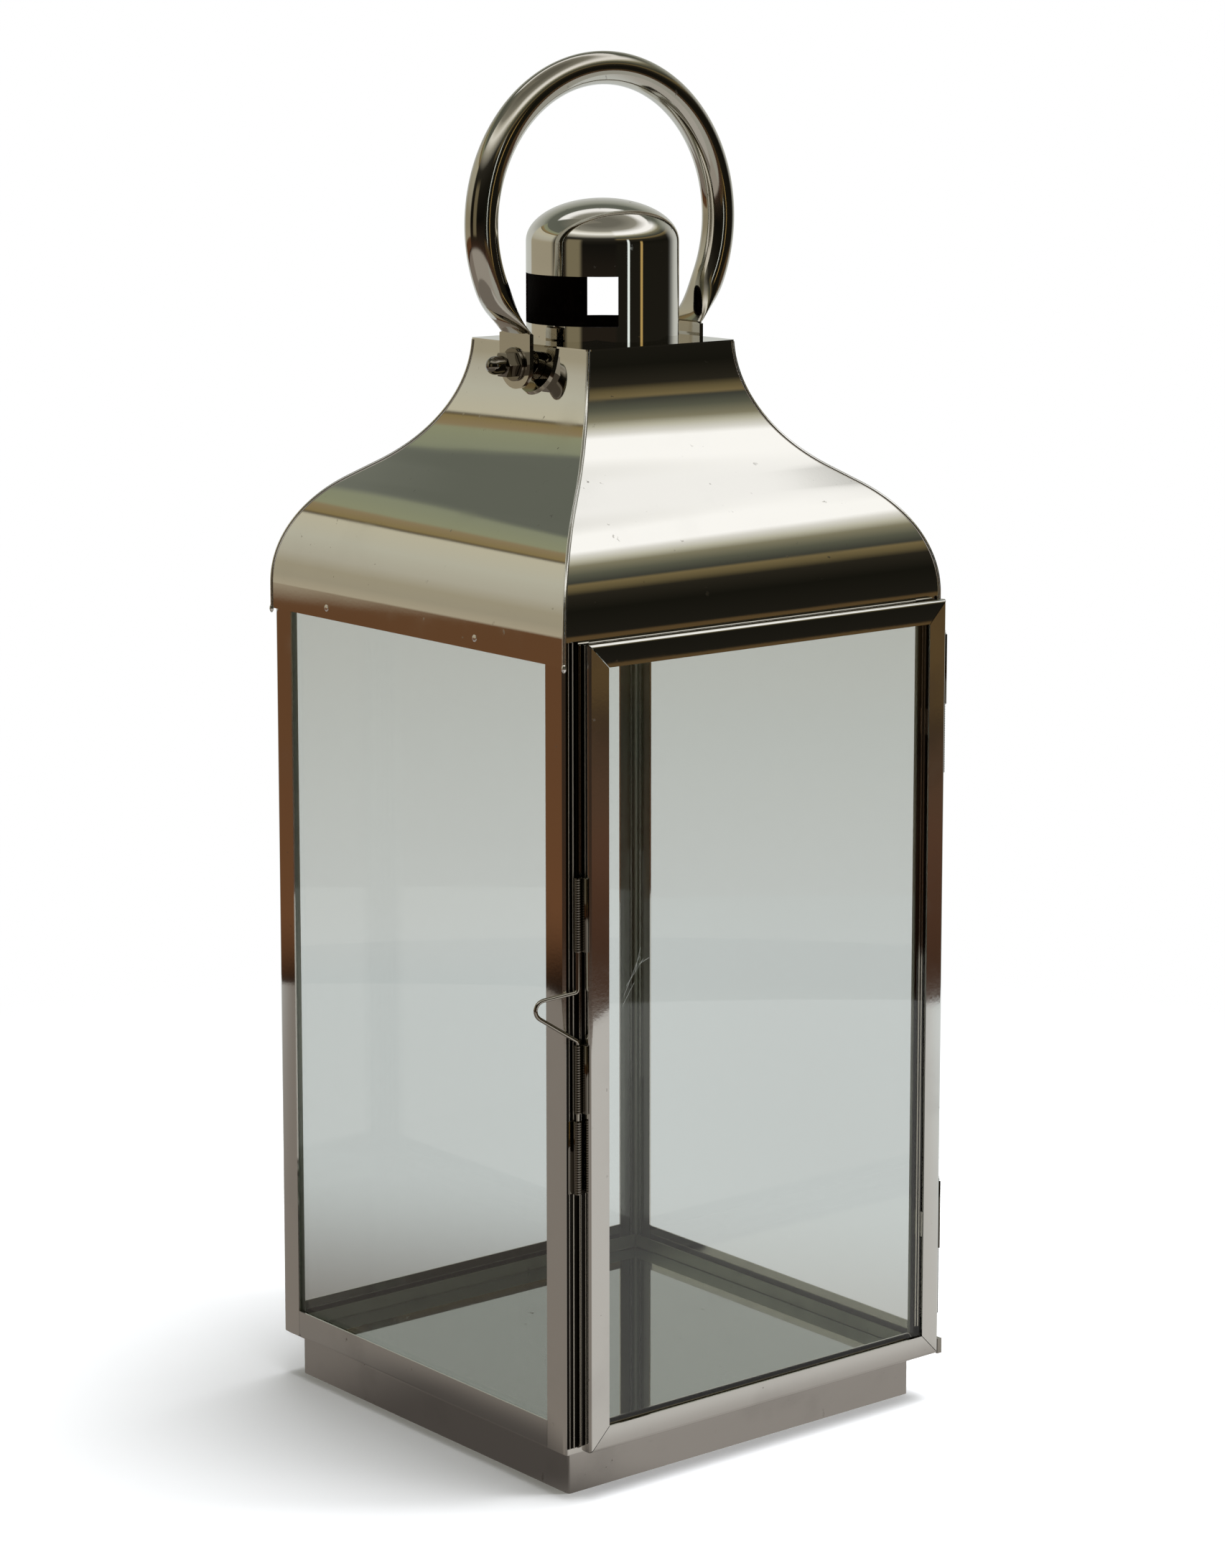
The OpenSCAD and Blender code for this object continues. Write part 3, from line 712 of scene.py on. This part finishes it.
# The door's glass: 3 mm float glass like the panes, held in the channels by clips from behind.
# A few fine scratches lie on its front near the latch.
pane("cut_door_glass", "door_glass", "door")
scratch_finish, tone = new_finish("scratched_glass")
scratch_surface = tone.node(
    "ShaderNodeBsdfPrincipled", inputs={"Base Color": shade("d9ddd9"), "Roughness": 0.6, "Alpha": 0.55}
)
tone.node("ShaderNodeOutputMaterial", inputs={0: scratch_surface})
shape = bmesh.new()
glass_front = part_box("door_glass")[0].y - 0.00003
scratch_depth, scratch_width = 0.00002, 0.00009
for x, z, rise, length in (
    (-0.0585, 0.176, 62, 0.014), (-0.0572, 0.177, 48, 0.011), (-0.0560, 0.181, 74, 0.008),
    (-0.0600, 0.170, 55, 0.009), (-0.0540, 0.180, 20, 0.006),
):
    scratch = Matrix.Translation((x, glass_front, z)) @ Matrix.Rotation(math.radians(-rise), 4, "Y")
    scratch = scratch @ Matrix.Diagonal((length, scratch_depth, scratch_width, 1))
    bmesh.ops.create_cube(shape, size=1, matrix=scratch)
piece("glass_scratches", shape, "door", scratch_finish)
finish(door_steel, "door_glass_clips")
dark_steel = polished("dark_steel", "a9a49b", 0.09, ripple=0.004)
finish(dark_steel, "door_corner_tab")

# The recess beside the latch stile: a near-black strip in it, a painted shade for the dark
# recess, with two thin bright folds. It is tacked to the front of the post.


def plate(shape, low, high):
    """Adds a flat plate between two corners, with its edges eased."""
    made = bmesh.ops.create_cube(shape, size=1)["verts"]
    size = Vector(high) - Vector(low)
    bmesh.ops.scale(shape, vec=size, verts=made)
    bmesh.ops.translate(shape, vec=(Vector(low) + Vector(high)) / 2, verts=made)
    edges = list({e for v in made for e in v.link_edges})
    bmesh.ops.bevel(
        shape, geom=edges, offset=0.00012, offset_type="OFFSET", affect="EDGES", segments=2,
        profile=0.5, material=-1,
    )


# Near black: painted shade for the dark recess between the post and the latch stile.
recess_shade_steel = polished("recess_shade_steel", "1d1b18", 0.12, ripple=0.003, cloud=0.3)
fold_steel = polished("recess_fold_steel", "d6d2c8", 0.4, ripple=0.003, cloud=0.3)
recess_low, recess_high = door_low.z + 0.001, door_high.z + 0.0006
recess_front = -half - 0.0003
shape = bmesh.new()
plate(shape, (-half + 0.0004, recess_front, recess_low), (door_low.x - 0.0002, -half, recess_high))
piece("recess_shade_strip", shape, "frame", recess_shade_steel)
shape = bmesh.new()
for from_the_post, fold_radius in ((0.0014, 0.00016), (0.0031, 0.00028)):
    fold_line = [Vector((-half + from_the_post, recess_front, z)) for z in (recess_low, recess_high)]
    rod(shape, fold_line, lambda i: fold_radius, 10)
piece("recess_folds", shape, "frame", fold_steel, crease=60)

# The hinges: each has two leaves rolled into knuckles, with ribs pressed into the roll, on a
# pin with a small head. The lower knuckle belongs to the post and the upper one to the door.
knuckle_radius = 0.0013
rib_pitch = 0.00085
rib_depth = 0.00009


def ribbed_roll(shape, x, y, low, high):
    """Adds a ribbed knuckle round a vertical axis."""
    rib_steps = 4
    steps = rib_steps * round((high - low) / rib_pitch)
    line = [Vector((x, y, low + (high - low) * i / steps)) for i in range(steps + 1)]
    groove = [rib_depth * (1 - math.sin(math.pi * i / rib_steps)) for i in range(rib_steps)]
    rod(shape, line, lambda i: knuckle_radius - groove[i % rib_steps], 16)


knuckle_steel = polished("knuckle_steel", "7a756c", 0.05, ripple=0.001, cloud=0.2, grain=0)
pin_low, pin_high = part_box("hinge_pins")
pin_x, pin_y = (pin_low.x + pin_high.x) / 2, (pin_low.y + pin_high.y) / 2
frame_leaf_start, door_leaf_end = pin_y + 0.0009, pin_y + 0.0006
for node, body in (
    ("upper_hinge_frame_leaf", "frame"), ("lower_hinge_frame_leaf", "frame"),
    ("upper_hinge_door_leaf", "door"), ("lower_hinge_door_leaf", "door"),
):
    low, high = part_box(node)
    shape = bmesh.new()
    ribbed_roll(shape, pin_x, pin_y, low.z, high.z)
    if body == "frame":
        plate(shape, (half, frame_leaf_start, low.z), (half + sheet, high.y, high.z))
    else:
        plate(shape, (low.x, low.y, low.z), (low.x + sheet, door_leaf_end, high.z))
    piece("ribbed_" + node, shape, body, knuckle_steel, [node], 50)
finish(dark_steel, "hinge_pins")

# The latch: a wire bolt slides in two rolled guides on the door and drops into a rolled keeper
# on the post. The wire is bent out to a finger pull between the guides.
wire_radius = 0.0007
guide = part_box("latch_guide_lower")
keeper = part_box("latch_keeper")
wire_x = guide[0].x + knuckle_radius
wire_y = keeper[0].y + knuckle_radius
guide_strap, keeper_strap = 0.0009, 0.0005
keeper_side = wire_x - knuckle_radius
for name, node, body in (
    ("ribbed_upper_guide", "latch_guide_upper", "door"),
    ("ribbed_lower_guide", "latch_guide_lower", "door"),
    ("ribbed_keeper", "latch_keeper", "frame"),
):
    low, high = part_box(node)
    shape = bmesh.new()
    ribbed_roll(shape, wire_x, wire_y, low.z, high.z)
    if body == "door":
        plate(shape, (high.x - guide_strap, low.y, low.z), (high.x, high.y, high.z))
    else:
        plate(shape, (keeper_side, wire_y, low.z), (keeper_side + keeper_strap, high.y, high.z))
        plate(shape, (low.x, high.y - sheet, low.z), (wire_x + 0.0002, high.y, high.z))
    piece(name, shape, body, knuckle_steel, [node], 50)

wire_low, wire_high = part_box("latch_wire")
shape = bmesh.new()
pull_out = 0.0202
pull_foot, pull_tip, pull_head = 0.1566, 0.1699, 0.1731
slight_bend, tip_bend = 0.0012, 0.0034
bends = [
    (0, 0, wire_low.z), (0, 0, pull_foot), (pull_out, 0, pull_tip), (0, 0, pull_head),
    (0, 0, wire_high.z),
]
pull = Matrix.Translation((wire_x, wire_y, 0)) @ Matrix.Rotation(math.radians(160), 4, "Z")
wire_line = [pull @ point for point in rounded(bends, (slight_bend, tip_bend, slight_bend), 9)]
rod(shape, wire_line, lambda i: wire_radius, 16)
latch_steel = polished("latch_wire_steel", "b5b0a6", 0.04, ripple=0.001, cloud=0.1, grain=0)
piece("bent_latch_wire", shape, "latch", latch_steel, ["latch_wire"], 50)

# The ring handle: a steel tube bent round, with both ends crushed flat over their last stretch,
# bent down and bored for the pivot bolts. It swings on the bolts from side to side, over the cap.
handle_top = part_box("ring_handle")[1].z
tube_radius = 0.0057
ring_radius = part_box("ring_handle")[1].x - tube_radius
ring_height = handle_top - ring_radius - tube_radius
washer_low, washer_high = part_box("handle_washers")
pivot_height = (washer_low.z + washer_high.z) / 2
tongue_outside = 0.0384
tongue_thickness = 0.0016
tongue_half_width = 0.0084
tongue_middle = tongue_outside - tongue_thickness / 2
crease_angle = math.degrees(math.acos(tongue_middle / ring_radius))
crease_height = ring_height - ring_radius * math.sin(math.radians(crease_angle))
crushed_angle = 20
crush_curve = 1.4
ring_steps = 120
bore_radius = 0.0027
ring_steel = polished("ring_steel", "c6c1b6", 0.07, ripple=0.003, cloud=0.2)
shape = bmesh.new()
section = bmesh.ops.create_circle(shape, cap_ends=True, segments=40, radius=1)["verts"]
rim = list({e for v in section for e in v.link_edges})
set_before = Matrix.Identity(4)
for i in range(ring_steps + 1):  # from crease to crease, flat at both and round between
    angle = -crease_angle + (180 + 2 * crease_angle) * i / ring_steps
    if i > 0:
        made = bmesh.ops.extrude_edge_only(shape, edges=rim)["geom"]
        section = [v for v in made if isinstance(v, bmesh.types.BMVert)]
        rim = [e for e in made if isinstance(e, bmesh.types.BMEdge)]
    past_the_end = min(angle + crease_angle, 180 + crease_angle - angle) / crushed_angle
    fullness = 1 if past_the_end > 1 else math.sin(math.radians(90 * past_the_end)) ** crush_curve
    thick = tongue_thickness / 2 + (tube_radius - tongue_thickness / 2) * fullness
    wide = tongue_half_width + (tube_radius - tongue_half_width) * fullness
    spoke = polar(angle, ring_radius)
    place = Matrix.Translation((spoke.x, 0, ring_height + spoke.y))
    place = place @ Matrix.Rotation(math.radians(-angle), 4, "Y") @ Matrix.Diagonal((thick, wide, 1, 1))
    bmesh.ops.transform(shape, matrix=place @ set_before.inverted(), verts=section)
    set_before = place
bmesh.ops.holes_fill(shape, edges=rim)
for side in (-1, 1):  # the two tongues, round below and drawn out to square shoulders above
    hole = bmesh.ops.create_circle(shape, segments=32, radius=bore_radius)["verts"]
    outline = bmesh.ops.create_circle(shape, segments=64, radius=tongue_half_width)["verts"]
    for v in outline:
        if v.co.y > 0:
            v.co.x = math.copysign(tongue_half_width, v.co.x) if abs(v.co.x) > 0.005 else v.co.x * 1.5
            v.co.y = min(crease_height - pivot_height, v.co.y * 1.6)
    edges = list({e for v in hole + outline for e in v.link_edges})
    flat = bmesh.ops.triangle_fill(shape, use_beauty=True, edges=edges)["geom"]
    flat = [f for f in flat if isinstance(f, bmesh.types.BMFace)]
    made = bmesh.ops.extrude_face_region(shape, geom=flat)["geom"]
    moved = [v for v in made if isinstance(v, bmesh.types.BMVert)]
    bmesh.ops.translate(shape, verts=moved, vec=(0, 0, -tongue_thickness))
    stand = Matrix(((0, 0, 1, tongue_outside), (1, 0, 0, 0), (0, 1, 0, pivot_height), (0, 0, 0, 1)))
    if side < 0:
        stand = Matrix.Diagonal((-1, 1, 1, 1)) @ stand
    bmesh.ops.transform(shape, matrix=stand, verts=hole + outline + moved)
piece("bent_ring_handle", shape, "handle", ring_steel, ["ring_handle"], 50)

# The handle's fixings: bolts with their heads inside the roof, spacers, washers and domed nuts.
# Each nut is a chamfered hexagon with a turned dome on it. Outlines are (x, radius) pairs.
fixing_steel = polished("fixing_steel", "857f74", 0.04, ripple=0.001, cloud=0.1, grain=0)
finish(fixing_steel, "handle_bolts")
washer_thickness, hexagon_length, chamfer = 0.001, 0.0045, 0.0002
washer_end, washer_radius = washer_high.x, washer_high.y
washer_start = washer_end - washer_thickness
nut_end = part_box("acorn_nuts")[1].x
hexagon_end = washer_end + hexagon_length
hexagon_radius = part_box("acorn_nuts")[1].y / math.cos(math.radians(30))
dome_radius = 0.0032
hexagon = [
    (washer_end, hexagon_radius - 3 * chamfer), (washer_end + chamfer, hexagon_radius),
    (hexagon_end - chamfer, hexagon_radius), (hexagon_end, hexagon_radius - 3 * chamfer),
]
dome = [(hexagon_end - chamfer, dome_radius), (nut_end - dome_radius, dome_radius)]
for step in range(1, 9):
    turn = math.radians(step * 10.5)
    dome.append((nut_end - dome_radius * (1 - math.sin(turn)), dome_radius * math.cos(turn)))
washer = [
    (washer_start, washer_radius - chamfer), (washer_start + chamfer, washer_radius),
    (washer_end - chamfer, washer_radius), (washer_end, washer_radius - chamfer),
]
for name, node, profiles in (
    ("domed_nuts", "acorn_nuts", ((hexagon, 6), (dome, 32))),
    ("turned_washers", "handle_washers", ((washer, 48),)),
):
    shape = bmesh.new()
    for side in (-1, 1):
        for profile, sides_round in profiles:
            line = [Vector((side * x, 0, pivot_height)) for x, radius in profile]
            rod(shape, line, lambda i: profile[i][1], sides_round)
    piece(name, shape, "frame", fixing_steel, [node], 35)
finish(fixing_steel, "handle_spacers")
